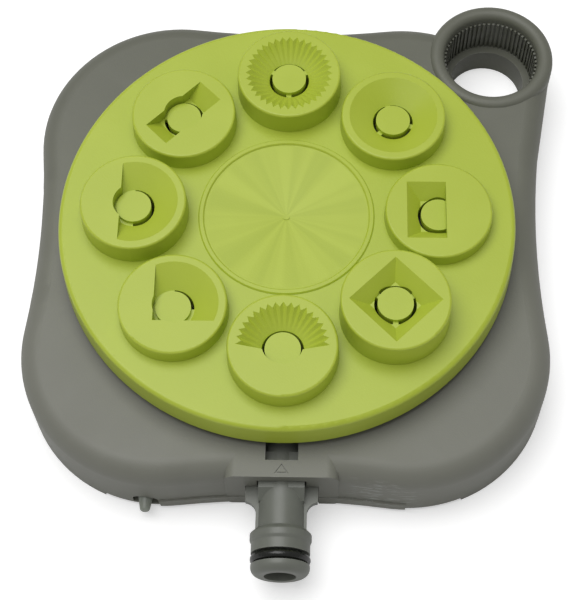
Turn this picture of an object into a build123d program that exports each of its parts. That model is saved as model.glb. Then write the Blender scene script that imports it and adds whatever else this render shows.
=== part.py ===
from build123d import *
import math
import os

# Turret lawn sprinkler: a grey moulded base with a hose nipple at the front (-Y) and a corner
# socket at the rear right, and a round green dial with eight different spray nozzles. The dial is
# turned until the wanted nozzle stands at the front, over the water outlet.
# Millimetres, +Z up. The origin is on the ground, under the dial's axis of turning.

# Base moulding
lobe_offset = 35.0
lobe_radius = 41.7
waist = 74.6
skirt_bottom = 1.8
base_top = 23.3
base_wall = 2.5
base_draft = 1.0
base_edge_round = 6.3
foot_width = 2.6
foot_spread = 44.0
rib_wall = 1.8
rib_bottom = 14.0
ring_rib_radius = 54.0
radial_rib_count = 12
plateau_radius = 59.0
plateau_top = 25.2

# Front frame round the inlet
frame_half_width = 15.8
frame_proud = 0.6
frame_depth = 9.2
frame_leg_width = 5.5
frame_shoulder_round = 3.3
frame_toe_round = 1.5
lintel_height = 3.6
slot_width = 9.1
slot_setback = 4.9
slot_length = 11.8
arrow_height = 2.8
arrow_width = 4.0
arrow_line = 0.4
arrow_depth = 0.3
arrow_setback = 1.1
lip_half_width = 35.0
lip_height = 4.0
lip_step = 0.5

# Corner socket at the rear right, placed from the middle of the lobe that carries it
socket_side = 27.6
socket_behind = 28.8
socket_outer_radius = 19.3
socket_radius = 13.9
socket_groove = 0.6
socket_rib_count = 60
socket_rib_width = 0.7
socket_top = 24.4
socket_rib_top = 21.0
socket_ledge = 9.0
socket_hole_radius = 11.6
socket_rim_round = 2.3

# Dial
dial_top = 35.0
dial_radius = 66.0
dial_draft = 0.4
dial_plate = 3.0
dial_wall = 2.4
dial_edge_round = 1.4
skirt_gap = 2.9
bead_radius = 24.6
bead_width = 1.7
bead_height = 0.5
dish_depth = 0.9
gate_radius = 1.0
gate_height = 0.3

# Nozzles, numbered clockwise from the rear when seen from above
nozzle_circle = 43.7
nozzle_heights = [8.2, 5.9, 4.5, 9.9, 6.9, 5.4, 7.7, 6.2]
nozzle_radius = 15.3
nozzle_draft = 0.25
nozzle_edge_round = 0.7
recess_radius = 12.9
recess_depth = 4.2
button_radius = 5.0
button_drop = 3.05
jet_slot = 0.9
jet_bridge = 1.5
clearance_groove = 0.7
floor_thickness = 1.8
flute_count = 36
flute_depth = 1.5
half_pyramid_wall = 2.1
half_cone_wall = 3.6
quarter_cone_wall = 5.3
fan_wall_drop = 1.5
trough_width = 8.8
trough_length = 21.6

# Underside of the dial and the port plate
barrel_wall = 2.2
boss_shell = 2.2
gasket_thickness = 0.8
gasket_width = 1.8
plate_thickness = 2.4
plate_radius = 60.0
port_radius = 4.0
track_gap = 0.6
plate_screw_circle = 55.5
plate_screw_count = 4
plate_screw_radius = 1.4
plate_screw_head = 2.8
plate_screw_boss = 3.0

# Pivot
hub_radius = 7.0
hub_shoulder_radius = 10.0
hub_bottom = 10.0
pivot_boss_radius = 11.0
pivot_screw_radius = 1.95
pivot_screw_length = 13.5
pivot_head_radius = 3.8
pivot_head_height = 2.4
washer_radius = 9.5
washer_thickness = 1.2
thrust_ring_thickness = 0.5
running_fit = 0.05
free_gap = 0.3

# Index plunger, behind the pivot
index_circle = 30.0
index_radius = 2.5
index_length = 7.0
index_pocket_bottom = 12.0
index_boss_radius = 4.2
index_spring_radius = 1.7
index_wire_radius = 0.3
index_coils = 5
notch_sphere = 3.2
notch_depth = 1.0

# Hose nipple and inlet tube; places on the nipple are distances back from its tip
tube_height = 13.2
tube_radius = 6.4
bore_radius = 4.45
nipple_reach = 25.2
land_radius = 8.2
tip_round = 2.4
seal_setback = 4.6
seal_section = 1.3
seal_ring_radius = 7.1
groove_half_width = 1.6
groove_radius = 5.7
ridge_setback = 10.8
ridge_radius = 8.6
ridge_half_width = 0.9
ridge_round = 0.6
land_setback = 9.0
collar_setback = 13.0
collar_radius = 7.15
web_thickness = 2.4
web_reach = 4.2
web_fillet = 3.4
web_gap = 0.2
fin_radius = 7.1
lug_height = 6.1
lug_reach = 4.6
lug_chamfer = 3.0
lug_groove_half = 3.3

# Outlet cup, seal and spring under the front nozzle
cup_radius = 9.0
cup_bore = 7.0
cup_floor = 8.6
cup_floor_thickness = 2.2
cup_top = 24.9
cup_hole_gap = 0.4
sleeve_height = 3.4
sleeve_wall = 2.2
seal_height = 1.1
seal_outer_radius = 6.5
seal_lip_radius = 4.0
sleeve_ring_section = 0.55
seal_spring_radius = 5.7
seal_wire_radius = 0.5
seal_coils = 4
ear_offset = 14.5
ear_half_width = 4.0
ear_bottom = 13.5
ear_top = 16.5
ear_screw_radius = 1.5
ear_screw_head = 3.0
ear_screw_head_height = 2.0
ear_screw_length = 9.0
ear_screw_clearance = 0.15
ear_boss_radius = 3.8

# Nozzle cleaning pin, kept under the base beside the inlet
pin_x = -39.1
pin_height = 5.0
pin_radius = 2.35
pin_tip_radius = 1.3
pin_reach = 3.2
pin_taper_length = 5.6
pin_inside = 12.7
pin_fit = 0.08
needle_radius = 0.5
needle_length = 47.0
needle_grip = 5.0
needle_clip_back = 8.0
pin_hole_width = 7.4
pin_hole_height = 5.2
clip_wall = 1.6
clip_depth = 3.0

# Worked out from the sizes above
skirt_low = base_top + skirt_gap
plate_under = dial_top - dial_plate
track = plateau_top + track_gap
plate_top = track + plate_thickness
barrel_bottom = plate_top + gasket_thickness
jet_radius = button_radius + jet_slot
chamber_radius = jet_radius + 0.1
barrel_radius = chamber_radius + barrel_wall
cavity_top = base_top - base_wall
plateau_cavity = plateau_top - base_wall
lintel_bottom = base_top - lintel_height
arch_half = frame_half_width - frame_leg_width
port = (0, -nozzle_circle)
ear_spots = [(-ear_offset, -nozzle_circle), (ear_offset, -nozzle_circle)]
socket_x = lobe_offset + socket_side
socket_y = lobe_offset + socket_behind

# Distances from the pivot towards the front
frame_front = waist + frame_proud
frame_back = frame_front - frame_depth
slot_front = frame_front - slot_setback
slot_back = slot_front - slot_length
web_front = frame_front + web_reach
lug_front = frame_front + lug_reach
tip_front = frame_front + nipple_reach
seal_centre = tip_front - seal_setback
land_back = tip_front - land_setback
ridge_centre = tip_front - ridge_setback
collar_back = tip_front - collar_setback
skirt_front = lobe_offset + lobe_radius
pin_front = skirt_front + pin_reach
pin_back = skirt_front - pin_inside
needle_back = pin_back + needle_grip - needle_length
needle_clip = needle_back + needle_clip_back

# How far a joined form runs into its neighbour, and a length clear past everything
bite = 0.5
ABOVE = 2 * tip_front


def disc(radius, low, high, x=0.0, y=0.0):
    """A round bar standing on the plane at height low."""
    return Pos(x, y, low) * extrude(Circle(radius), amount=high - low)


def tube(outer, inner, low, high, x=0.0, y=0.0):
    """A round bar with a round hole through it."""
    return disc(outer, low, high, x, y) - disc(inner, low - 1, high + 1, x, y)


def block(x0, x1, y0, y1, z0, z1):
    """A box between two corners."""
    centre = Pos((x0 + x1) / 2, (y0 + y1) / 2, (z0 + z1) / 2)
    return centre * Box(x1 - x0, y1 - y0, z1 - z0)


def turned(points):
    """A solid turned about Z from an outline in radius and height."""
    return revolve(make_face(Plane.XZ * Polyline(*points, close=True)), Axis.Z)


def joined(shapes):
    """All the shapes as one body."""
    result = shapes[0]
    for shape in shapes[1:]:
        result = result + shape
    return result


def base_plan(shrink):
    """The plan of the base: four round lobes joined by hollow sides."""
    radius = lobe_radius - shrink
    side = waist - shrink
    gap = radius - side
    far = (2 * lobe_offset**2 - gap**2) / (2 * (lobe_offset + gap))
    share = radius / (far - side + radius)
    touch_x = lobe_offset * (1 - share)
    touch_y = -lobe_offset - share * (far - lobe_offset)
    corner = lobe_offset + radius / math.sqrt(2)
    edges = []
    for quarter in range(4):
        turn = Rot(0, 0, 90 * quarter)
        edges.append(turn * ThreePointArc((-touch_x, touch_y), (0, -side), (touch_x, touch_y)))
        edges.append(turn * ThreePointArc((touch_x, touch_y), (corner, -corner), (-touch_y, -touch_x)))
    return make_face(Curve() + edges)


def base_block(shrink, low, high, edge_round):
    """The base's outer or inner form, drafted, with its top edge rounded."""
    form = Pos(0, 0, low) * extrude(base_plan(shrink), amount=high - low, taper=base_draft)
    return fillet(form.faces().sort_by(Axis.Z)[-1].edges(), edge_round)


def socket_web():
    """The web that carries the side of the base on to the corner socket, along their common tangent."""
    run = Vector(socket_x - lobe_offset, socket_y - lobe_offset)
    bearing = math.degrees(math.atan2(run.Y, run.X))
    spread = math.degrees(math.acos((lobe_radius - socket_outer_radius) / run.length))
    length = run.length * math.sin(math.radians(spread))
    height = base_top - skirt_bottom
    lean = height * math.tan(math.radians(base_draft))
    outline = Polyline(
        (lobe_radius / 2, 0), (lobe_radius, 0), (lobe_radius - lean, height),
        (lobe_radius / 2, height), close=True)
    section = make_face(Plane.XZ * outline)
    web = extrude(section, amount=-length)
    edge = web.edges().filter_by(Axis.Y).group_by(Axis.Z)[-1].sort_by(Axis.X)[-1]
    web = fillet(edge, base_edge_round)
    return Pos(lobe_offset, lobe_offset, skirt_bottom) * Rot(0, 0, bearing - spread) * web


def socket_bowl():
    """The hollow of the corner socket, fluted below so that fine upright ribs stay on its wall."""
    depth = socket_groove + bite
    rib = Rectangle(depth, socket_rib_width)
    ribs = Sketch() + PolarLocations(socket_radius + depth / 2, socket_rib_count) * rib
    fluted = Circle(socket_radius + socket_groove) - ribs
    bowl = Pos(0, 0, socket_ledge) * extrude(fluted, amount=socket_rib_top - socket_ledge)
    return bowl + disc(socket_radius + socket_groove, socket_rib_top, ABOVE)


def socket_ring():
    """The corner socket: a thick rim down to the ground, a fluted bowl, a ledge and a through hole."""
    ring = disc(socket_outer_radius, 0, socket_top) - socket_bowl()
    ring = fillet(ring.faces().sort_by(Axis.Z)[-1].edges(), socket_rim_round)
    return Pos(socket_x, socket_y, 0) * (ring - disc(socket_hole_radius, -1, ABOVE))


def underside_ribs(cavity):
    """Stiffening ribs under the top wall, trimmed to the hollow of the base."""
    reach = lobe_offset + lobe_radius
    ribs = [tube(ring_rib_radius + rib_wall, ring_rib_radius, rib_bottom, plateau_top)]
    for number in range(radial_rib_count):
        angle = 360 / radial_rib_count * number
        if angle == 270:
            continue
        ribs.append(Rot(0, 0, angle) * block(0, reach, -rib_wall / 2, rib_wall / 2, rib_bottom, plateau_top))
    lane = tube_radius + 2
    return (joined(ribs) - block(-lane, lane, -frame_front, 0, 0, plateau_top)) & cavity


def feet():
    """Three corner feet under the lobes; the corner socket stands for the fourth."""
    spots = []
    for corner in (225, 315, 135):
        turn = math.radians(corner)
        x = lobe_offset * math.sqrt(2) * math.cos(turn)
        y = lobe_offset * math.sqrt(2) * math.sin(turn)
        ring = Circle(lobe_radius) - Circle(lobe_radius - foot_width)
        reach = 2 * lobe_radius
        half = reach * math.tan(math.radians(foot_spread / 2))
        sector = make_face(Polyline((0, 0), (reach, -half), (reach, half), close=True))
        foot = ring & (Rot(0, 0, corner) * sector)
        spots.append(Pos(x, y, 0) * extrude(foot, amount=skirt_bottom + 0.5))
    return spots


def front_frame():
    """The frame round the inlet: two legs and a lintel level with the top of the base."""
    frame = block(-frame_half_width, frame_half_width, -frame_front, -frame_back, 0, base_top)
    long_edges = frame.edges().filter_by(Axis.Y)
    frame = fillet(long_edges.group_by(Axis.Z)[-1], frame_shoulder_round)
    frame = fillet(frame.edges().filter_by(Axis.Y).group_by(Axis.Z)[0], frame_toe_round)
    return frame


def arch():
    """The opening of the frame and of the skirt behind it."""
    return block(-arch_half, arch_half, -ABOVE, -frame_back + 6, -1, lintel_bottom)


def arrow_groove():
    """A fine triangular line sunk in the lintel, pointing at the nozzle in use."""
    front = -frame_front + arrow_setback
    half = arrow_width / 2
    outer = make_face(Polyline((-half, front), (half, front), (0, front + arrow_height), close=True))
    inner = offset(outer, -arrow_line)
    return Pos(0, 0, base_top - arrow_depth) * extrude(outer - inner, amount=1)


def pin_hole():
    """The arched hole in the skirt that the cleaning pin comes through."""
    low = pin_height - pin_hole_height / 2
    straight = pin_hole_height / 2
    shape = Pos(0, low + straight / 2) * Rectangle(pin_hole_width, straight)
    crown = Pos(0, low + straight) * Ellipse(pin_hole_width / 2, pin_hole_height - straight)
    hole = extrude(Plane.XZ * (shape + crown), amount=ABOVE)
    return Pos(pin_x, -needle_clip - 10, 0) * hole


def clip_posts():
    """Two posts under the top wall that hold the cleaning pin and its needle."""
    wide = pin_radius + pin_fit + clip_wall
    face = -pin_back - clip_depth
    front = block(pin_x - wide, pin_x + wide, face - clip_depth, face, pin_height - wide, cavity_top + bite)
    slim = needle_radius + clip_wall
    face = -needle_clip
    rear = block(pin_x - slim, pin_x + slim, face, face + clip_depth, pin_height - slim, plateau_cavity + bite)
    return [front, rear]


def clip_bores():
    """Bores of the two clip posts."""
    handle = Rot(90, 0, 0) * disc(pin_radius + pin_fit, pin_back - 2, pin_front)
    needle = Rot(90, 0, 0) * disc(needle_radius + pin_fit, needle_clip - clip_depth - 2, needle_clip + 2)
    return Pos(pin_x, 0, pin_height) * handle, Pos(pin_x, 0, pin_height) * needle


def make_base_shell():
    """The whole grey base moulding."""
    outer = base_block(0, skirt_bottom, base_top, base_edge_round)
    web = socket_web()
    plateau = disc(plateau_radius, base_top - 1, plateau_top)
    outer = outer + web + plateau
    inner_round = base_edge_round - base_wall
    cavity = base_block(base_wall, skirt_bottom - 1, cavity_top, inner_round)
    cavity = cavity + disc(plateau_radius - base_wall, skirt_bottom, plateau_cavity)
    ribs = underside_ribs(cavity)
    shell = outer - cavity
    lip = Pos(0, 0, skirt_bottom) * extrude(base_plan(-lip_step), amount=lip_height)
    lip = (lip & block(-lip_half_width, lip_half_width, -ABOVE, -waist + 4, 0, base_top)) - cavity
    shell = joined([shell, ribs, lip, front_frame()] + feet() + clip_posts())
    shell = shell - disc(socket_outer_radius - bite, 0, ABOVE, socket_x, socket_y)
    shell = shell + socket_ring()
    # bosses that reach down from the top wall
    bosses = [disc(pivot_boss_radius, hub_bottom + free_gap, plateau_top - 0.5)]
    bosses.append(disc(index_boss_radius, index_pocket_bottom - base_wall, plateau_top - 0.5, 0, index_circle))
    for x, y in ear_spots:
        bosses.append(disc(ear_boss_radius, ear_top, plateau_top - 0.5, x, y))
    shell = joined([shell] + bosses)
    # openings and bores
    shell = shell - arch()
    shell = shell - block(-slot_width / 2, slot_width / 2, -slot_front, -slot_back, lintel_bottom - 5, ABOVE)
    shell = shell - disc(cup_radius + cup_hole_gap, rib_bottom - 1, ABOVE, *port)
    shell = shell - disc(hub_radius + running_fit, 0, ABOVE)
    shell = shell - disc(index_radius + running_fit, index_pocket_bottom, ABOVE, 0, index_circle)
    for x, y in ear_spots:
        shell = shell - disc(ear_screw_radius + running_fit, 0, ear_bottom + ear_screw_length + 0.2, x, y)
    shell = shell - pin_hole()
    for bore in clip_bores():
        shell = shell - bore
    shell = shell - arrow_groove()
    return shell


def nozzle_angle(number):
    """The bearing of a nozzle about the pivot."""
    return 90 - 45 * number


def at_nozzle(number, height):
    """A place over a nozzle, turned so that its own +Y points at the pivot."""
    turn = math.radians(nozzle_angle(number))
    centre = Pos(nozzle_circle * math.cos(turn), nozzle_circle * math.sin(turn), height)
    return centre * Rot(0, 0, nozzle_angle(number) + 90)


def cone_recess():
    """A plain conical bowl, cut down from the nozzle's top face."""
    return turned([(0, 0), (recess_radius, 0), (jet_radius, -recess_depth), (0, -recess_depth)])


def fluted_recess():
    """The conical bowl with flutes that run out towards the button."""
    top = []
    floor = []
    steps = 2 * flute_count
    for step in range(steps):
        turn = 2 * math.pi * step / steps
        radius = recess_radius - (flute_depth if step % 2 else 0)
        top.append((radius * math.cos(turn), radius * math.sin(turn)))
        floor.append((jet_radius * math.cos(turn), jet_radius * math.sin(turn)))
    upper = make_face(Polyline(*top, close=True))
    lower = Pos(0, 0, -recess_depth) * make_face(Polyline(*floor, close=True))
    return loft([lower, upper], ruled=True)


def pyramid_recess():
    """A square pyramid-shaped bowl whose corners reach the recess circle."""
    side = recess_radius * math.sqrt(2)
    floor_side = 2 * button_radius
    upper = Rectangle(side, side)
    lower = Pos(0, 0, -recess_depth) * Rectangle(floor_side, floor_side)
    return loft([lower, upper], ruled=True)


def trough_recess():
    """A straight trough across the radius with upright walls and ramped ends."""
    half = trough_length / 2
    outline = [(-half, 0), (half, 0), (jet_radius, -recess_depth), (-jet_radius, -recess_depth)]
    return extrude(make_face(Plane.XZ * Polyline(*outline, close=True)), amount=trough_width / 2, both=True)


def half_space(angle, setback):
    """Everything on one side of an upright plane that lies behind the nozzle's centre."""
    reach = 2 * nozzle_radius
    return Rot(0, 0, angle) * block(-reach, reach, -setback, reach, -reach, 1)


def fan_space():
    """The open side of the fluted fan, whose walls fall back a little towards the button."""
    reach = 2 * nozzle_radius
    knee = button_radius
    outline = Polyline(
        (-reach, 0), (-recess_radius, 0), (-knee, -fan_wall_drop), (knee, -fan_wall_drop),
        (recess_radius, 0), (reach, 0), (reach, reach), (-reach, reach), close=True)
    return Pos(0, 0, -reach) * extrude(make_face(outline), amount=reach + 1)


def nozzle_pattern(number):
    """The recess of one nozzle and the part of it where the jet slot is open, in its own frame."""
    everywhere = half_space(0, 2 * nozzle_radius)
    if number == 0:
        return fluted_recess(), everywhere
    if number == 1:
        return cone_recess(), everywhere
    if number == 2:
        space = half_space(0, half_pyramid_wall)
        return pyramid_recess() & space, space
    if number == 3:
        return pyramid_recess(), everywhere
    if number == 4:
        space = fan_space()
        return fluted_recess() & space, space
    if number == 5:
        space = half_space(45, quarter_cone_wall) & half_space(-45, quarter_cone_wall)
        return cone_recess() & space, half_space(45, 0) & half_space(-45, 0)
    if number == 6:
        space = half_space(0, half_cone_wall)
        return cone_recess() & space, half_space(0, 0)
    ends = half_space(45, 0) & half_space(-45, 0)
    return trough_recess(), Rot(0, 0, -90) * ends + Rot(0, 0, 90) * ends


def bridge_angles(number):
    """Where small bridges hold a button that stands free all round."""
    if number in (0, 1):
        return [90, 210, 330]
    if number == 3:
        return [105, 225, 345]
    return []


def jet_opening(number, space):
    """The curved slots round the button that the water leaves by."""
    depth = recess_depth + floor_thickness + 0.5
    slot = Pos(0, 0, -depth) * extrude(Circle(jet_radius) - Circle(button_radius), amount=depth - button_drop)
    slot = slot & space
    for angle in bridge_angles(number):
        arm = block(0, 2 * jet_radius, -jet_bridge / 2, jet_bridge / 2, -2 * recess_depth, 0)
        slot = slot - Rot(0, 0, angle) * arm
    return slot


def nozzle_boss(number):
    """The raised round boss of one nozzle with its recess and button, without its chamber."""
    height = nozzle_heights[number]
    foot = nozzle_radius + nozzle_draft
    boss = turned([(0, 0), (nozzle_radius, 0), (foot, -height - 1), (0, -height - 1)])
    boss = fillet(boss.faces().sort_by(Axis.Z)[-1].edges(), nozzle_edge_round)
    recess, space = nozzle_pattern(number)
    boss = boss - recess
    if number != 2:
        boss = boss - disc(button_radius + clearance_groove, -recess_depth, 1)
    button = disc(button_radius, -recess_depth - 0.5, -button_drop)
    if number == 2:
        button = button & space
    return boss + button


def nozzle_barrel(number):
    """The chamber wall under one nozzle, from its boss down to the gasket."""
    return disc(barrel_radius, barrel_bottom - dial_top - nozzle_heights[number], -recess_depth - 0.5)


def nozzle_core(number):
    """The chamber and the core-out round it, open from below."""
    roof = -recess_depth - floor_thickness
    low = barrel_bottom - dial_top - nozzle_heights[number] - 1
    chamber = disc(chamber_radius, low, roof)
    under = plate_under - dial_top - nozzle_heights[number]
    pocket = tube(nozzle_radius - boss_shell, barrel_radius, under - 1, roof - 0.4)
    return chamber + pocket


def dial_body():
    """The dial's plate and skirt, with the bead and the shallow dish in the middle."""
    low_radius = dial_radius + dial_draft
    outline = [
        (0, dial_top), (dial_radius, dial_top), (low_radius, skirt_low), (low_radius - dial_wall, skirt_low),
        (dial_radius - dial_wall, plate_under), (0, plate_under)]
    body = turned(outline)
    rim = body.edges().filter_by(GeomType.CIRCLE).group_by(Axis.Z)[-1]
    body = fillet(rim, dial_edge_round)
    inside = bead_radius - bead_width / 2
    bead = tube(inside + bead_width, inside, dial_top - bite, dial_top + bead_height)
    bead = chamfer(bead.faces().sort_by(Axis.Z)[-1].edges(), bead_height * 0.7)
    dish = turned([(0, dial_top + 1), (inside, dial_top + 1), (inside, dial_top), (0, dial_top - dish_depth)])
    floor = dial_top - dish_depth
    gate = Pos(0, 0, floor - 1) * extrude(Circle(gate_radius), amount=1 + gate_height)
    return (body + bead - dish) + gate


def plate_screw_spots(radius):
    """The bearings of the screws that hold the port plate."""
    return PolarLocations(radius, plate_screw_count, start_angle=22.5)


def make_dial():
    """The green dial: one moulding with eight nozzles, chambers, hub and screw bosses."""
    dial = dial_body()
    for number in range(8):
        dial = dial + at_nozzle(number, dial_top + nozzle_heights[number]) * nozzle_boss(number)
        dial = dial + at_nozzle(number, dial_top + nozzle_heights[number]) * nozzle_barrel(number)
    hub = disc(hub_shoulder_radius, track, plate_under + 0.5) + disc(hub_radius, hub_bottom, track + 1)
    dial = dial + hub
    for spot in plate_screw_spots(plate_screw_circle):
        dial = dial + spot * disc(plate_screw_boss, plate_top, plate_under + 0.5)
    for number in range(8):
        place = at_nozzle(number, dial_top + nozzle_heights[number])
        space = nozzle_pattern(number)[1]
        dial = dial - place * nozzle_core(number)
        dial = dial - place * jet_opening(number, space)
    for spot in plate_screw_spots(plate_screw_circle):
        dial = dial - spot * disc(plate_screw_radius + running_fit, plate_top - 1, plate_under + 0.2)
    return dial - disc(pivot_screw_radius + running_fit, 0, hub_bottom + pivot_screw_length)


def make_port_plate():
    """The plate under the dial: eight ports, a smooth seal track and eight index notches."""
    plate = tube(plate_radius, hub_shoulder_radius + running_fit, track, plate_top)
    for spot in PolarLocations(nozzle_circle, 8, start_angle=nozzle_angle(0)):
        plate = plate - spot * disc(port_radius, track - 1, plate_top + 1)
    for spot in PolarLocations(index_circle, 8, start_angle=90):
        plate = plate - spot * (Pos(0, 0, track + notch_depth - notch_sphere) * Sphere(notch_sphere))
    head_depth = plate_screw_head - plate_screw_radius
    for spot in plate_screw_spots(plate_screw_circle):
        gap = running_fit
        sink = turned([
            (0, track - 1), (plate_screw_head + gap, track - 1), (plate_screw_head + gap, track),
            (plate_screw_radius + gap, track + head_depth), (plate_screw_radius + gap, plate_top + 1), (0, plate_top + 1)])
        plate = plate - spot * sink
    return plate


def make_chamber_gaskets():
    """Eight flat rubber rings between the chambers and the port plate."""
    rings = []
    for spot in PolarLocations(nozzle_circle, 8, start_angle=nozzle_angle(0)):
        rings.append(spot * tube(barrel_radius, barrel_radius - gasket_width, plate_top, barrel_bottom))
    return Compound(rings)


def make_port_plate_screws():
    """Countersunk screws that hold the port plate to the dial."""
    head_depth = plate_screw_head - plate_screw_radius
    low = track + 0.1
    screw = turned([
        (0, low), (plate_screw_head - 0.1, low), (plate_screw_radius, low + head_depth - 0.1),
        (plate_screw_radius, plate_under - 0.3), (0, plate_under - 0.3)])
    slot = block(-0.3, 0.3, -1.4, 1.4, low - 1, low + 0.7)
    screw = screw - slot - Rot(0, 0, 90) * slot
    return Compound([spot * screw for spot in plate_screw_spots(plate_screw_circle)])


def cross_slot(radius, low, depth):
    """A cross recess in the underside of a screw's head."""
    arm = block(-0.35, 0.35, -radius * 0.6, radius * 0.6, low - 1, low + depth)
    return arm + Rot(0, 0, 90) * arm


def make_pivot_screw():
    """The pan-head screw that holds the dial down, driven into the hub from below."""
    top = hub_bottom - washer_thickness
    low = top - pivot_head_height
    head = disc(pivot_head_radius, low, top)
    head = fillet(head.faces().sort_by(Axis.Z)[0].edges(), 0.8)
    shank = disc(pivot_screw_radius, top - 0.5, hub_bottom + pivot_screw_length - 0.5)
    return head + shank - cross_slot(pivot_head_radius, low, 1.4)


def make_pivot_washer():
    """The steel washer between the screw's head and the hub's end."""
    return tube(washer_radius, pivot_screw_radius + 0.1, hub_bottom - washer_thickness, hub_bottom)


def make_thrust_ring():
    """The slippery ring on the pivot boss that the dial turns on."""
    return tube(hub_shoulder_radius, hub_radius + free_gap, plateau_top, plateau_top + thrust_ring_thickness)


def coil(radius, wire, low, high, coils, x=0.0, y=0.0):
    """A round-wire compression spring that stands between two heights."""
    height = high - low - 2 * wire
    path = Helix(pitch=height / coils, height=height, radius=radius)
    profile = Plane(origin=path @ 0, z_dir=path % 0) * Circle(wire)
    return Pos(x, y, low + wire) * sweep(profile, path=path, is_frenet=True)


def make_index_plunger():
    """The domed plunger that clicks into the dial's notches."""
    top = track - free_gap
    dome = index_radius * 0.5
    body = disc(index_radius, top - index_length, top - dome)
    cap = disc(index_radius, top - dome, top) & (Pos(0, 0, top - notch_sphere) * Sphere(notch_sphere))
    hollow = disc(index_spring_radius - index_wire_radius - 0.2, top - index_length - 1.6, top - index_length)
    return Pos(0, index_circle, 0) * (body + cap + hollow)


def make_index_spring():
    """The spring under the index plunger."""
    top = track - free_gap - index_length
    return coil(index_spring_radius, index_wire_radius, index_pocket_bottom, top, index_coils, 0, index_circle)


def along_tube(points):
    """A solid turned about the tube's axis from radius and distance towards the front."""
    outline = make_face(Polyline(*points, close=True))
    body = revolve(outline, Axis.Y)
    return Pos(0, 0, tube_height) * Rot(0, 0, 180) * body


def nipple():
    """The outer form of the hose nipple and of the tube behind it."""
    groove_back = seal_centre - groove_half_width
    groove_front = seal_centre + groove_half_width
    body = along_tube([
        (0, nozzle_circle), (tube_radius, nozzle_circle), (tube_radius, collar_back), (collar_radius, collar_back),
        (ridge_radius, ridge_centre - ridge_half_width), (ridge_radius, ridge_centre + ridge_half_width),
        (land_radius, land_back), (land_radius, groove_back), (groove_radius, groove_back),
        (groove_radius, groove_front), (land_radius, groove_front), (land_radius, tip_front), (0, tip_front)])
    rims = body.edges().filter_by(GeomType.CIRCLE)
    tip = rims.sort_by(Axis.Y)[0]
    body = fillet(tip, tip_round)
    rims = body.edges().filter_by(GeomType.CIRCLE)
    return fillet([rim for rim in rims if abs(rim.radius - ridge_radius) < 0.01], ridge_round)


def inlet_web():
    """The flat web at the tube's middle height, which fills the frame and runs out as two fins."""
    half = arch_half - web_gap
    back = -frame_back - bite
    run_out = web_front + web_fillet
    corner = (half - fin_radius) * 0.7
    left = ThreePointArc((-half, -web_front), (corner - half, -web_front - 1), (-fin_radius, -run_out))
    right = ThreePointArc((fin_radius, -run_out), (half - corner, -web_front - 1), (half, -web_front))
    fins = Polyline(
        (-fin_radius, -run_out), (-fin_radius, -collar_back - bite), (fin_radius, -collar_back - bite),
        (fin_radius, -run_out))
    rear = Polyline((half, -web_front), (half, back), (-half, back), (-half, -web_front))
    web = make_face(Curve() + [left, fins, right, rear])
    return Pos(0, 0, tube_height - web_thickness / 2) * extrude(web, amount=web_thickness)


def inlet_lugs():
    """The sloped block on top of the tube under the lintel, parted by a V groove as deep as its slope."""
    top = tube_height + lug_height
    lug = block(-tube_radius, tube_radius, -lug_front, -frame_back - bite, tube_height, top)
    front_edge = lug.edges().filter_by(Axis.X).group_by(Axis.Z)[-1].sort_by(Axis.Y)[0]
    lug = chamfer(front_edge, lug_chamfer)
    wide = 2 * lug_groove_half
    vee = Polyline((-wide, top + lug_chamfer), (wide, top + lug_chamfer), (0, top - lug_chamfer), close=True)
    groove = Pos(0, -frame_back, 0) * extrude(make_face(Plane.XZ * vee), amount=lug_front)
    return lug - groove


def make_inlet_body():
    """Nipple, tube and outlet cup in one moulding, with two ears that are screwed to the base."""
    body = nipple() + inlet_web() + inlet_lugs()
    body = body + disc(cup_radius, cup_floor - cup_floor_thickness, cup_top, *port)
    for x, y in ear_spots:
        reach = block(min(x, 0), max(x, 0), y - ear_half_width, y + ear_half_width, ear_bottom, ear_top)
        body = body + reach + disc(ear_half_width, ear_bottom, ear_top, x, y)
    waterway = [(0, nozzle_circle), (bore_radius, nozzle_circle), (bore_radius, ABOVE), (0, ABOVE)]
    body = body - along_tube(waterway)
    body = body - disc(cup_bore, cup_floor, ABOVE, *port)
    for x, y in ear_spots:
        body = body - disc(ear_screw_radius + ear_screw_clearance, 0, ABOVE, x, y)
    return body


def make_inlet_o_ring():
    """The rubber ring in the nipple's groove."""
    ring = Torus(seal_ring_radius, seal_section)
    return Pos(0, -seal_centre, tube_height) * Rot(90, 0, 0) * ring


def make_inlet_screws():
    """Two pan-head screws that hold the inlet body up to the base."""
    low = ear_bottom - ear_screw_head_height
    head = disc(ear_screw_head, low, ear_bottom)
    head = fillet(head.faces().sort_by(Axis.Z)[0].edges(), 0.6)
    shank = disc(ear_screw_radius, ear_bottom - 0.5, ear_bottom + ear_screw_length)
    screw = head + shank - cross_slot(ear_screw_head, low, 1.1)
    return Compound([Pos(x, y, 0) * screw for x, y in ear_spots])


def sleeve_top():
    """The height at which the rubber seal sits on its sleeve."""
    return track - free_gap - seal_height


def make_outlet_sleeve():
    """The sliding sleeve that presses the seal against the port plate."""
    outer = cup_bore - running_fit
    top = sleeve_top()
    inner = outer - sleeve_wall
    sleeve = tube(outer, inner, top - sleeve_height, top)
    middle = top - sleeve_height / 2
    groove_floor = cup_bore - free_gap - 2 * sleeve_ring_section - running_fit
    half = sleeve_ring_section + running_fit
    groove = tube(outer + 1, groove_floor, middle - half, middle + half)
    return Pos(*port, 0) * (sleeve - groove)


def make_sleeve_o_ring():
    """The small rubber ring in the sleeve's groove."""
    middle = sleeve_top() - sleeve_height / 2
    radius = cup_bore - free_gap - sleeve_ring_section
    return Pos(port[0], port[1], middle) * Torus(radius, sleeve_ring_section)


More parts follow.
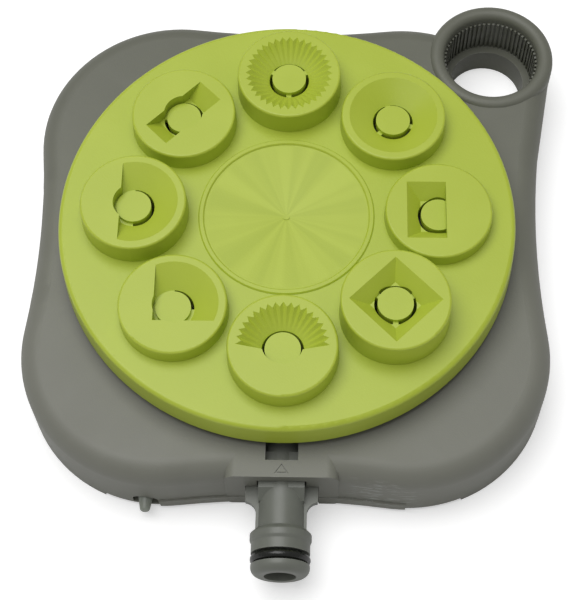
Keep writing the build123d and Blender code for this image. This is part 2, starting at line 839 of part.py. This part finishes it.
def make_outlet_seal():
    """The rubber face seal under the dial."""
    low = sleeve_top()
    body = tube(seal_outer_radius, seal_lip_radius, low, low + seal_height)
    body = chamfer(body.faces().sort_by(Axis.Z)[-1].edges(), 0.35)
    return Pos(*port, 0) * body


def make_seal_spring():
    """The spring under the sleeve."""
    return coil(seal_spring_radius, seal_wire_radius, cup_floor, sleeve_top() - sleeve_height, seal_coils, *port)


def make_pin_handle():
    """The plastic handle of the cleaning pin, with a blunt tapered head."""
    neck = pin_front - pin_taper_length
    outline = [(0, pin_back), (pin_radius, pin_back), (pin_radius, neck), (pin_tip_radius, pin_front), (0, pin_front)]
    handle = turned(outline)
    handle = fillet(handle.faces().sort_by(Axis.Z)[-1].edges(), pin_tip_radius * 0.75)
    handle = handle - disc(needle_radius + 0.02, pin_back - 1, pin_back + needle_grip)
    return Pos(pin_x, 0, pin_height) * Rot(90, 0, 0) * handle


def make_pin_needle():
    """The steel needle that clears the nozzles."""
    needle = disc(needle_radius, needle_back, pin_back + needle_grip)
    needle = chamfer(needle.faces().sort_by(Axis.Z)[0].edges(), needle_radius * 0.6)
    return Pos(pin_x, 0, pin_height) * Rot(90, 0, 0) * needle


PIECES = {
    "base_shell": make_base_shell,
    "inlet_body": make_inlet_body,
    "inlet_o_ring": make_inlet_o_ring,
    "inlet_screws": make_inlet_screws,
    "thrust_ring": make_thrust_ring,
    "dial": make_dial,
    "port_plate": make_port_plate,
    "chamber_gaskets": make_chamber_gaskets,
    "port_plate_screws": make_port_plate_screws,
    "pivot_screw": make_pivot_screw,
    "pivot_washer": make_pivot_washer,
    "outlet_sleeve": make_outlet_sleeve,
    "sleeve_o_ring": make_sleeve_o_ring,
    "outlet_seal": make_outlet_seal,
    "seal_spring": make_seal_spring,
    "index_plunger": make_index_plunger,
    "index_spring": make_index_spring,
    "cleaning_pin_handle": make_pin_handle,
    "cleaning_pin_needle": make_pin_needle,
}

os.makedirs("parts", exist_ok=True)
for name, make in PIECES.items():
    export_step(make(), f"parts/{name}.step")
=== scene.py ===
import bpy
import bmesh
import math
from mathutils import Matrix, Vector


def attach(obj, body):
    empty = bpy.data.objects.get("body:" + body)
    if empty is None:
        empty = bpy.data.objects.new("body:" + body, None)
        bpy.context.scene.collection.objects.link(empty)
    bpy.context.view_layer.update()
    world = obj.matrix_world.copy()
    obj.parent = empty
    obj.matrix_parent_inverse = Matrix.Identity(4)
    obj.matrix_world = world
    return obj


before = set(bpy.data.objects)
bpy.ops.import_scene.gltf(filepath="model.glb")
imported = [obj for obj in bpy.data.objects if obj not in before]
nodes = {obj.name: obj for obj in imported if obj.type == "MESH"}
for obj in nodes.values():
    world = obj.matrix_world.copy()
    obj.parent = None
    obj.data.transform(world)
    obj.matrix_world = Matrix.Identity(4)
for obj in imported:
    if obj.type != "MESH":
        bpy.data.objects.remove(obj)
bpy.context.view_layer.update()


# Base moulding: the grey shell that stands on the ground, with its lobes, front frame and corner
# socket. One injection moulding in matt plastic, with a fine spark grain, faint flow streaks out from
# the pivot, rubbed edges with a painted highlight, painted shade towards the rear, and pale scuffs at
# the front right, on the lip and just above it.

class Wire:
    """A node's output, which takes part in sums as a number does."""

    def __init__(self, tree, end=None):
        self.tree = tree
        self.end = end

    def node(self, kind, settings, values, give=0):
        """Adds a node; its settings come first, then the values or links of its sockets."""
        made = self.tree.nodes.new("ShaderNode" + kind)
        for name, value in settings.items():
            setattr(made, name, value)
        for name, value in values.items():
            if isinstance(value, Wire):
                self.tree.links.new(value.end, made.inputs[name])
            else:
                made.inputs[name].default_value = value
        return Wire(self.tree, made.outputs[give])

    def sum(self, operation, first, second=0.0):
        """Adds a Math node."""
        return self.node("Math", {"operation": operation}, {0: first, 1: second})

    def __add__(self, other):
        return self.sum("ADD", self, other)

    def __sub__(self, other):
        return self.sum("SUBTRACT", self, other)

    def __rsub__(self, other):
        return self.sum("SUBTRACT", other, self)

    def __mul__(self, other):
        return self.sum("MULTIPLY", self, other)

    def __abs__(self):
        return self.sum("ABSOLUTE", self)

    __radd__ = __add__
    __rmul__ = __mul__


def rise(value, low, high):
    """0 at low, 1 at high, and a smooth step between them; low may be the larger."""
    span = {"Value": value, "From Min": low, "From Max": high}
    return value.node("MapRange", {"interpolation_type": "SMOOTHSTEP"}, span)


def noise(place, size, detail=2.0, roughness=0.5):
    """Even noise between 0 and 1 whose lumps are about size metres across."""
    values = {"Vector": place, "Scale": 1 / size, "Detail": detail, "Roughness": roughness}
    return place.node("TexNoise", {}, values)


def swing(pattern, reach):
    """The noise, brought to lie about 0 and made reach times as strong."""
    noise_middle = 0.5
    return (pattern - noise_middle) * reach


# the places of a Mix node's colour sockets, which have the same names as its number sockets
mix_share = 0
mix_under = 6
mix_over = 7
mix_result = 2


def paint(share, under, over):
    """The colour over laid on the colour under where share is 1."""
    values = {mix_share: share, mix_under: under, mix_over: over}
    return share.node("Mix", {"data_type": "RGBA"}, values, give=mix_result)


def shade(colour, factor=1):
    return (colour[0] * factor, colour[1] * factor, colour[2] * factor, 1)


def new_finish(name):
    """An empty material, its shader, and the Object coordinates that its patterns read."""
    material = bpy.data.materials.new(name)
    material.use_nodes = True
    shader = material.node_tree.nodes["Principled BSDF"]
    place = Wire(material.node_tree).node("TexCoord", {}, {}, give="Object")
    return material, shader, place


def link(shader, socket, wire):
    wire.tree.links.new(wire.end, shader.inputs[socket])


def split(place, axes):
    """The named axes of a place, each as a wire."""
    return [place.node("SeparateXYZ", {}, {"Vector": place}, give=axis) for axis in axes]


def out_from_pivot(x, y):
    """The distance from the axis that the dial turns about."""
    return x.sum("SQRT", x * x + y * y)


def bearing_about_pivot(x, y):
    return x.sum("ARCTAN2", y, x)


def sharp_edges(place, radius):
    """About 1 on sharp outer and inner edges within radius, and 0 on open faces."""
    blunt = 0.02
    sharp = 0.25
    rounded = place.node("Bevel", {"samples": 6}, {"Radius": radius})
    facing = place.node("NewGeometry", {}, {}, give="Normal")
    match = place.node("VectorMath", {"operation": "DOT_PRODUCT"}, {0: rounded, 1: facing}, give="Value")
    return rise(1 - match, blunt, sharp)


def patchy_sharp_edges(place, radius, patch_size, bare, full):
    """Sharp edges that come and go in patches about patch_size across."""
    patch = noise(place, patch_size, detail=3.0, roughness=0.6)
    return sharp_edges(place, radius) * rise(patch, bare, full)


def bump(height, depth, under=None):
    """A normal raised by depth metres where height is 1, on top of the bump under it."""
    values = {"Height": height, "Distance": depth, "Strength": 1.0}
    if under is not None:
        values["Normal"] = under
    return height.node("Bump", {}, values)


def grained(place, size, depth, under=None):
    """The fine grain of a spark-finished mould as a bump."""
    return bump(noise(place, size, detail=3.0, roughness=0.6), depth, under)


def dress(name, material):
    """Gives a CAD piece its finish."""
    nodes[name].data.materials.clear()
    nodes[name].data.materials.append(material)


base_grey = (0.186, 0.188, 0.157)
# this darker grey serves both the painted shade towards the rear and the dark mottling
base_rear_shade_and_mottle_grey = (0.128, 0.132, 0.102)
base_rubbed_and_highlight = (0.50, 0.51, 0.49)
base_roughness = 0.50
base_painted_shade_from = -0.040
base_painted_shade_full_at = 0.075
base_painted_shade_share = 0.9

base_mottle_size = 0.018
base_mottle_reach = 0.30
base_streak_width = 0.0016
base_streak_reach = 0.26
base_streak_turn = 0.012
base_streak_stretch = 0.06
base_tone_full = 0.22
base_tone_share = 0.35
base_rub_and_highlight_share = 0.35
base_scuff_share = 0.45

scuff_left_faint = 0.017
scuff_left = 0.022
scuff_right_faint = 0.041
scuff_right = 0.034
scuff_rear_faint = -0.068
scuff_rear = -0.073
scuff_top_faint = 0.022
scuff_top = 0.016
scratch_size = 0.0024
scratch_stretch = (0.5, 0.5, 3.0)
scratch_bare = 0.52
scratch_full = 0.66


def base_scuffs(place, x, y, z):
    """Level scratches inside a soft-edged window on the front right of the base."""
    across = rise(x, scuff_left_faint, scuff_left) * rise(x, scuff_right_faint, scuff_right)
    window = across * rise(y, scuff_rear_faint, scuff_rear) * rise(z, scuff_top_faint, scuff_top)
    stretched = place.node("Mapping", {}, {"Vector": place, "Scale": scratch_stretch})
    scratch = noise(stretched, scratch_size, detail=4.0, roughness=0.7)
    return window * rise(scratch, scratch_bare, scratch_full)


def base_finish():
    material, shader, place = new_finish("base_plastic_moulded")
    x, y, z = split(place, "XYZ")
    # painted shade: the moulding is painted darker and a little greener towards the rear
    rear_shade = rise(y, base_painted_shade_from, base_painted_shade_full_at)
    colour = paint(rear_shade * base_painted_shade_share, shade(base_grey), shade(base_rear_shade_and_mottle_grey))
    # broad mottling, and radial flow streaks away from the pivot
    around = bearing_about_pivot(x, y) * base_streak_turn
    flow = place.node("CombineXYZ", {}, {"X": around, "Y": out_from_pivot(x, y) * base_streak_stretch})
    streak = noise(flow, base_streak_width)
    mottle = noise(place, base_mottle_size, detail=3.0, roughness=0.55)
    tone = swing(mottle, base_mottle_reach) + swing(streak, base_streak_reach)
    lighter = rise(tone, 0.0, base_tone_full) * base_tone_share
    darker = rise(tone, 0.0, -base_tone_full) * base_tone_share
    colour = paint(lighter, colour, shade(base_grey, 1.32))
    colour = paint(darker, colour, shade(base_rear_shade_and_mottle_grey, 0.78))
    # rubbed wear and painted highlight: the sharp edges are painted pale in patches
    edges = patchy_sharp_edges(place, radius=0.0006, patch_size=0.004, bare=0.42, full=0.62)
    colour = paint(edges * base_rub_and_highlight_share, colour, shade(base_rubbed_and_highlight, 0.8))
    scuffs = base_scuffs(place, x, y, z)
    colour = paint(scuffs * base_scuff_share, colour, shade(base_rubbed_and_highlight, 1.1))
    waves = grained(flow, size=0.004, depth=0.00012)
    link(shader, "Base Color", colour)
    link(shader, "Roughness", base_roughness + swing(mottle, 0.16) + scuffs * 0.2)
    link(shader, "Normal", grained(place, size=0.00045, depth=0.00004, under=waves))
    return material


base_plastic = base_finish()
dress("base_shell", base_plastic)


# Front wall of the frame: two thin cheeks between the frame's legs and the tube, and a narrow ledge
# on each leg below. They are part of the base moulding: the inlet's web passes between them.

wall_front = -0.0751
wall_back = -0.0726
wall_edge = 0.0002
leg_side = 0.0103
reach_into_leg = 0.0003
cheek_inner = 0.0068
cheek_low = 0.0146
cheek_high = 0.0202
ledge_inner = 0.0098
ledge_low = 0.0006
ledge_high = 0.0117


def add_block(form, inner, outer, low_z, high_z):
    """A block of the wall; inner and outer are measured from the middle, to either side."""
    middle = Vector(((inner + outer) / 2, (wall_front + wall_back) / 2, (low_z + high_z) / 2))
    size = Vector((abs(outer - inner), wall_back - wall_front, high_z - low_z))
    bmesh.ops.create_cube(form, size=1, matrix=Matrix.Translation(middle) @ Matrix.Diagonal(size).to_4x4())


def add_piece(name, form, material):
    """Turns a finished form into a Blender object of that name."""
    mesh = bpy.data.meshes.new(name)
    form.to_mesh(mesh)
    form.free()
    mesh.materials.append(material)
    piece = bpy.data.objects.new(name, mesh)
    bpy.context.collection.objects.link(piece)
    return piece


def close_the_arch():
    form = bmesh.new()
    outer = leg_side + reach_into_leg
    for side in (-1, 1):
        add_block(form, side * cheek_inner, side * outer, cheek_low, cheek_high)
    for side in (-1, 1):
        add_block(form, side * ledge_inner, side * outer, ledge_low, ledge_high)
    bmesh.ops.bevel(form, geom=form.edges[:], offset=wall_edge, segments=2, affect="EDGES", profile=0.5)
    wall = add_piece("frame_wall", form, base_plastic)
    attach(wall, "base")


close_the_arch()


# Hose inlet: nipple, tube and outlet cup in one moulding of a slightly darker, smoother grey.
# It is screwed up under the base. A mould parting line runs along both sides of the nipple.

inlet_grey = (0.150, 0.158, 0.135)
inlet_roughness = 0.40
inlet_rub_and_highlight_share = 0.45
tube_axis_height = 0.0132
parting_line_half = 0.00010
parting_line_faint = 0.00028
parting_line_height = 0.00005
parting_line_from = -0.082
parting_line_full = -0.086
parting_line_share = 0.35


def inlet_finish():
    material, shader, place = new_finish("inlet_plastic_moulded")
    y, z = split(place, "YZ")
    mottle = noise(place, size=0.006, detail=3.0, roughness=0.55)
    colour = paint(mottle, shade(inlet_grey, 0.90), shade(inlet_grey, 1.12))
    line = rise(abs(z - tube_axis_height), parting_line_faint, parting_line_half)
    line = line * rise(y, parting_line_from, parting_line_full)
    colour = paint(line * parting_line_share, colour, shade(inlet_grey, 1.7))
    # rubbed wear and painted highlight: the sharp edges are painted much paler in patches
    edges = patchy_sharp_edges(place, radius=0.0005, patch_size=0.003, bare=0.40, full=0.60)
    colour = paint(edges * inlet_rub_and_highlight_share, colour, shade(inlet_grey, 2.2))
    raised = bump(line, parting_line_height)
    link(shader, "Base Color", colour)
    link(shader, "Roughness", inlet_roughness + swing(mottle, 0.18))
    link(shader, "Normal", grained(place, size=0.0005, depth=0.000025, under=raised))
    return material


dress("inlet_body", inlet_finish())


# Rubber rings: the black ring on the nipple, the small ring of the sleeve, the face seal and the
# gaskets. All are moulded black rubber, slightly greasy, with dust in the finest unevenness.

rubber_black = (0.010, 0.011, 0.009)
rubber_roughness = 0.24
dust_bare = 0.50
dust_full = 0.75
dust_share = 0.25


def rubber_finish():
    material, shader, place = new_finish("black_rubber")
    dust = rise(noise(place, size=0.0012, detail=4.0, roughness=0.65), dust_bare, dust_full)
    colour = paint(dust * dust_share, shade(rubber_black), shade(rubber_black, 4.5))
    link(shader, "Base Color", colour)
    link(shader, "Roughness", rubber_roughness + dust * 0.22)
    link(shader, "Normal", grained(place, size=0.0006, depth=0.00002))
    return material


rubber = rubber_finish()
dress("inlet_o_ring", rubber)
dress("sleeve_o_ring", rubber)
dress("outlet_seal", rubber)
dress("chamber_gaskets", rubber)


# Sliding pieces: thrust ring, outlet sleeve and index plunger, turned or moulded from a natural
# low-friction plastic, which looks waxy and a little cloudy.

wax_white = (0.72, 0.70, 0.63)
wax_roughness = 0.34
wax_edge_share = 0.4


def waxy_finish():
    material, shader, place = new_finish("natural_slide_plastic")
    cloud = noise(place, size=0.004, detail=3.0)
    colour = paint(cloud, shade(wax_white, 0.90), shade(wax_white, 1.06))
    colour = paint(sharp_edges(place, radius=0.0004) * wax_edge_share, colour, shade(wax_white, 0.72))
    link(shader, "Base Color", colour)
    link(shader, "Roughness", wax_roughness + cloud * 0.12)
    link(shader, "Normal", grained(place, size=0.0008, depth=0.00002))
    return material


waxy = waxy_finish()
dress("thrust_ring", waxy)
dress("outlet_sleeve", waxy)
dress("index_plunger", waxy)


# Springs and needle: bright drawn stainless wire, finely uneven from the drawing, with dull stains.
# The springs are wound round and the needle is pressed into its handle.

wire_bright = (0.62, 0.62, 0.61)
wire_stained = (0.40, 0.39, 0.36)
wire_roughness = 0.24
stain_bare = 0.45
stain_full = 0.75
stain_share = 0.5


def wire_finish():
    material, shader, place = new_finish("drawn_steel_wire")
    grain = noise(place, size=0.0003, detail=4.0, roughness=0.6)
    stain = rise(noise(place, size=0.005), stain_bare, stain_full)
    colour = paint(stain * stain_share, shade(wire_bright), shade(wire_stained))
    link(shader, "Base Color", colour)
    shader.inputs["Metallic"].default_value = 1.0
    link(shader, "Roughness", wire_roughness + grain * 0.16)
    link(shader, "Normal", grained(place, size=0.0003, depth=0.00001))
    return material


bright_wire = wire_finish()
dress("seal_spring", bright_wire)
dress("index_spring", bright_wire)
dress("cleaning_pin_needle", bright_wire)


# Screws and washer: zinc-plated steel. The pivot screw, the two inlet screws and the four
# countersunk screws of the port plate are self-tapping and cut their own thread in the plastic.

zinc_dull = (0.46, 0.46, 0.44)
zinc_bright = (0.66, 0.66, 0.64)
zinc_roughness = 0.28


def zinc_finish():
    material, shader, place = new_finish("zinc_plated_steel")
    bloom = noise(place, size=0.002, detail=4.0, roughness=0.6)
    colour = paint(bloom, shade(zinc_dull), shade(zinc_bright))
    link(shader, "Base Color", colour)
    shader.inputs["Metallic"].default_value = 1.0
    link(shader, "Roughness", zinc_roughness + bloom * 0.20)
    link(shader, "Normal", grained(place, size=0.0007, depth=0.00002))
    return material


zinc = zinc_finish()
dress("pivot_washer", zinc)
dress("pivot_screw", zinc)
dress("inlet_screws", zinc)
dress("port_plate_screws", zinc)


# Port plate: the dark disc screwed under the dial, which slides over the water outlet.
# Moulded in a dense black-grey plastic; the seal has polished a ring on its underside.

port_grey = (0.055, 0.056, 0.055)
port_roughness = 0.50
port_circle = 0.0437
polished_half = 0.0060
polished_faint = 0.0075
polished_share = 0.3


def port_finish():
    material, shader, place = new_finish("port_plate_plastic")
    x, y = split(place, "XY")
    mottle = noise(place, size=0.010, detail=3.0, roughness=0.55)
    colour = paint(mottle, shade(port_grey, 0.85), shade(port_grey, 1.2))
    polished = rise(abs(out_from_pivot(x, y) - port_circle), polished_faint, polished_half)
    colour = paint(polished * polished_share, colour, shade(port_grey, 1.8))
    link(shader, "Base Color", colour)
    link(shader, "Roughness", port_roughness - polished * 0.22 + swing(mottle, 0.1))
    link(shader, "Normal", grained(place, size=0.0006, depth=0.00003))
    return material


dress("port_plate", port_finish())


# Dial: the lime green turret with its eight nozzles, one moulding in satin plastic.
# It was gated in the middle of its dish, so paler and deeper rays of flow fan out there, and its
# edges are rubbed and carry a painted highlight.

dial_green = (0.430, 0.525, 0.042)
dial_pale = (0.500, 0.600, 0.070)
dial_deep = (0.340, 0.430, 0.028)
dial_roughness = 0.40
dial_cloud_bare = 0.35
dial_cloud_full = 0.70
dial_cloud_share = 0.35
dial_rub_and_highlight_share = 0.30
dish_radius = 0.0237
dish_edge = 0.001
ray_width = 0.0045
ray_turn = 0.01
ray_share = 0.34
pale_ray_bare = 0.44
pale_ray_full = 0.60
deep_ray_bare = 0.52
deep_ray_full = 0.38


def dial_finish():
    material, shader, place = new_finish("dial_plastic_satin")
    x, y = split(place, "XY")
    mottle = noise(place, size=0.022, detail=3.0)
    cloud = rise(mottle, dial_cloud_bare, dial_cloud_full)
    colour = paint(cloud * dial_cloud_share, shade(dial_green), shade(dial_pale))
    # the flow of the melt, in rays about the gate that end at the rim of the dish
    turned = place.node("CombineXYZ", {}, {"X": bearing_about_pivot(x, y) * ray_turn})
    rays = noise(turned, ray_width)
    inner = rise(out_from_pivot(x, y), dish_radius, dish_radius - dish_edge)
    pale = inner * rise(rays, pale_ray_bare, pale_ray_full)
    deep = inner * rise(rays, deep_ray_bare, deep_ray_full)
    colour = paint(pale * ray_share, colour, shade(dial_pale, 1.05))
    colour = paint(deep * ray_share, colour, shade(dial_deep, 1.05))
    # rubbed wear and painted highlight: the sharp edges are painted paler in patches
    edges = patchy_sharp_edges(place, radius=0.0005, patch_size=0.003, bare=0.40, full=0.62)
    colour = paint(edges * dial_rub_and_highlight_share, colour, shade(dial_pale, 1.15))
    link(shader, "Base Color", colour)
    link(shader, "Roughness", dial_roughness + swing(mottle, 0.12))
    link(shader, "Normal", grained(place, size=0.0006, depth=0.00003))
    return material


dress("dial", dial_finish())


# Cleaning pin: a grey moulded handle with a steel needle, clipped under the base.
# Only its blunt head shows, in the arched hole at the front left.

pin_grey = (0.24, 0.26, 0.22)
pin_roughness = 0.38


def pin_finish():
    material, shader, place = new_finish("pin_plastic")
    mottle = noise(place, size=0.003, detail=3.0)
    colour = paint(mottle, shade(pin_grey, 0.85), shade(pin_grey, 1.15))
    link(shader, "Base Color", colour)
    link(shader, "Roughness", pin_roughness + swing(mottle, 0.2))
    link(shader, "Normal", grained(place, size=0.0005, depth=0.00003))
    return material


dress("cleaning_pin_handle", pin_finish())


# The set: a white floor that keeps the shadow, a pale surround, one large softbox overhead, a little
# behind and to the left, and the camera in front and above, as in the photograph.

floor_size = 4.0
floor_white = (0.88, 0.88, 0.88)
floor_off_white = (0.86, 0.86, 0.86)
floor_glow = 0.42
surround_light = 0.32


def seen_by_camera(wire):
    """1 in what the camera sees directly, and 0 in the light that falls on the object."""
    return wire.node("LightPath", {}, {}, give="Is Camera Ray")


def floor_finish():
    material, shader, place = new_finish("white_floor")
    link(shader, "Base Color", paint(noise(place, size=0.05), shade(floor_off_white), shade(floor_white)))
    shader.inputs["Roughness"].default_value = 0.9
    shader.inputs["Specular IOR Level"].default_value = 0.1
    shader.inputs["Emission Color"].default_value = (1, 1, 1, 1)
    link(shader, "Emission Strength", seen_by_camera(place) * floor_glow)
    return material


def lay_floor():
    form = bmesh.new()
    bmesh.ops.create_grid(form, x_segments=1, y_segments=1, size=floor_size / 2)
    floor = add_piece("floor", form, floor_finish())


def light_the_surround():
    surround = bpy.data.worlds.new("surround")
    surround.use_nodes = True
    bpy.context.scene.world = surround
    backdrop = surround.node_tree.nodes["Background"]
    backdrop.inputs["Color"].default_value = (1, 1, 1, 1)
    seen = seen_by_camera(Wire(surround.node_tree))
    link(backdrop, "Strength", surround_light + seen * (1 - surround_light))


def hang_lamp(name, place, size, power):
    """A square soft lamp that points at the sprinkler."""
    light = bpy.data.lights.new(name, "AREA")
    light.size = size
    light.energy = power
    lamp = bpy.data.objects.new(name, light)
    lamp.location = place
    lamp.rotation_euler = Vector(place).to_track_quat("Z", "Y").to_euler()
    bpy.context.collection.objects.link(lamp)


lay_floor()
light_the_surround()
hang_lamp("overhead_softbox", place=(-0.24, 0.16, 1.30), size=1.1, power=12.6)

camera_place = (0.01096, -0.20678, 0.41216)
camera_bearing = math.radians(3.29)
camera_rise = math.radians(64.48)
camera_roll = math.radians(-2.28)
camera_lens = 89.25
back = Vector((
    math.sin(camera_bearing) * math.cos(camera_rise),
    -math.cos(camera_bearing) * math.cos(camera_rise),
    math.sin(camera_rise)))
level = Vector((math.cos(camera_bearing), math.sin(camera_bearing), 0))
upright = back.cross(level)
right = math.cos(camera_roll) * level + math.sin(camera_roll) * upright
up = back.cross(right)
camera_data = bpy.data.cameras.new("camera")
camera_data.lens = camera_lens
camera = bpy.data.objects.new("camera", camera_data)
camera.matrix_world = Matrix.Translation(camera_place) @ Matrix((right, up, back)).transposed().to_4x4()
bpy.context.collection.objects.link(camera)
bpy.context.scene.camera = camera
bpy.context.scene.view_settings.view_transform = "Standard"
